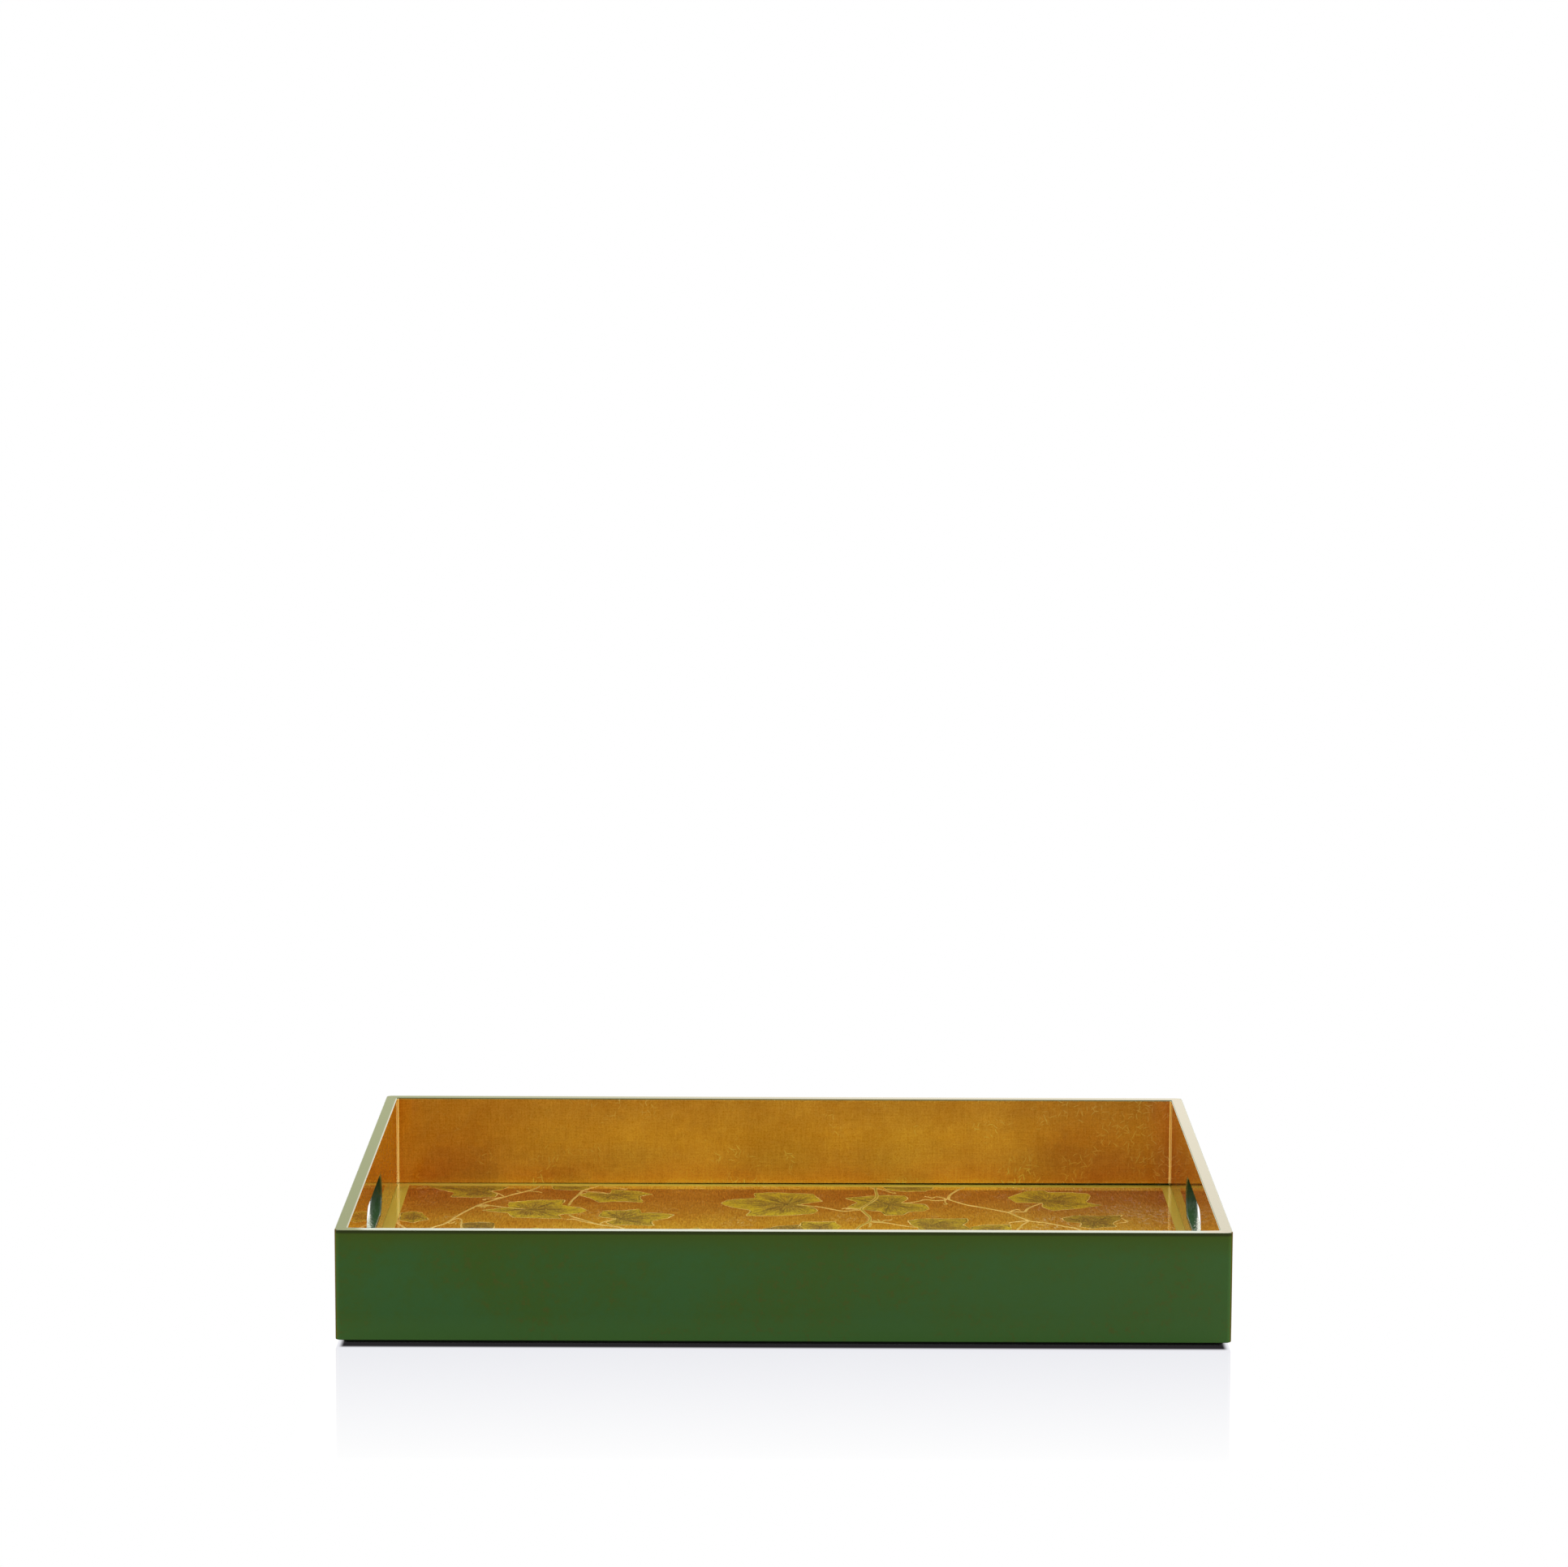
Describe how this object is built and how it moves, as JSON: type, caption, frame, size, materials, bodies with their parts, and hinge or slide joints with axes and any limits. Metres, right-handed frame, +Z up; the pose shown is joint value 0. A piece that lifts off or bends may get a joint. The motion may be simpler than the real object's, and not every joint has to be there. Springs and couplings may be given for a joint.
{
  "type": "rectangular serving tray",
  "caption": "Deep rectangular lacquered wooden serving tray with mitred walls, an oblong hand hole in each end wall, a gilded inside and a felt underside.",
  "frame": {"origin": "on the table, under the middle of the tray, at the felt's underside", "axes": "+Z up out of the tray, +X along its length towards the right end wall, -Y towards the front wall"},
  "size_m": [0.46, 0.33, 0.0602],
  "materials": {
    "green_lacquer": "green gloss lacquer over wood",
    "gold_leaf": "gold leaf under clear gloss lacquer, over wood",
    "dark_felt": "matt felt",
    "bright_steel": "plain wire brad"
  },
  "bodies": {
    "root": {"front_wall": "green_lacquer", "back_wall": "green_lacquer", "left_end_wall": "green_lacquer", "right_end_wall": "green_lacquer", "base_panel": "gold_leaf", "felt_pad": "dark_felt", "corner_pin_1": "bright_steel", "corner_pin_2": "bright_steel", "corner_pin_3": "bright_steel", "corner_pin_4": "bright_steel", "corner_pin_5": "bright_steel", "corner_pin_6": "bright_steel", "corner_pin_7": "bright_steel", "corner_pin_8": "bright_steel", "base_pin_1": "bright_steel", "base_pin_2": "bright_steel", "base_pin_3": "bright_steel", "base_pin_4": "bright_steel", "base_pin_5": "bright_steel", "base_pin_6": "bright_steel", "base_pin_7": "bright_steel", "base_pin_8": "bright_steel", "base_pin_9": "bright_steel", "base_pin_10": "bright_steel"}
  },
  "joints": []
}
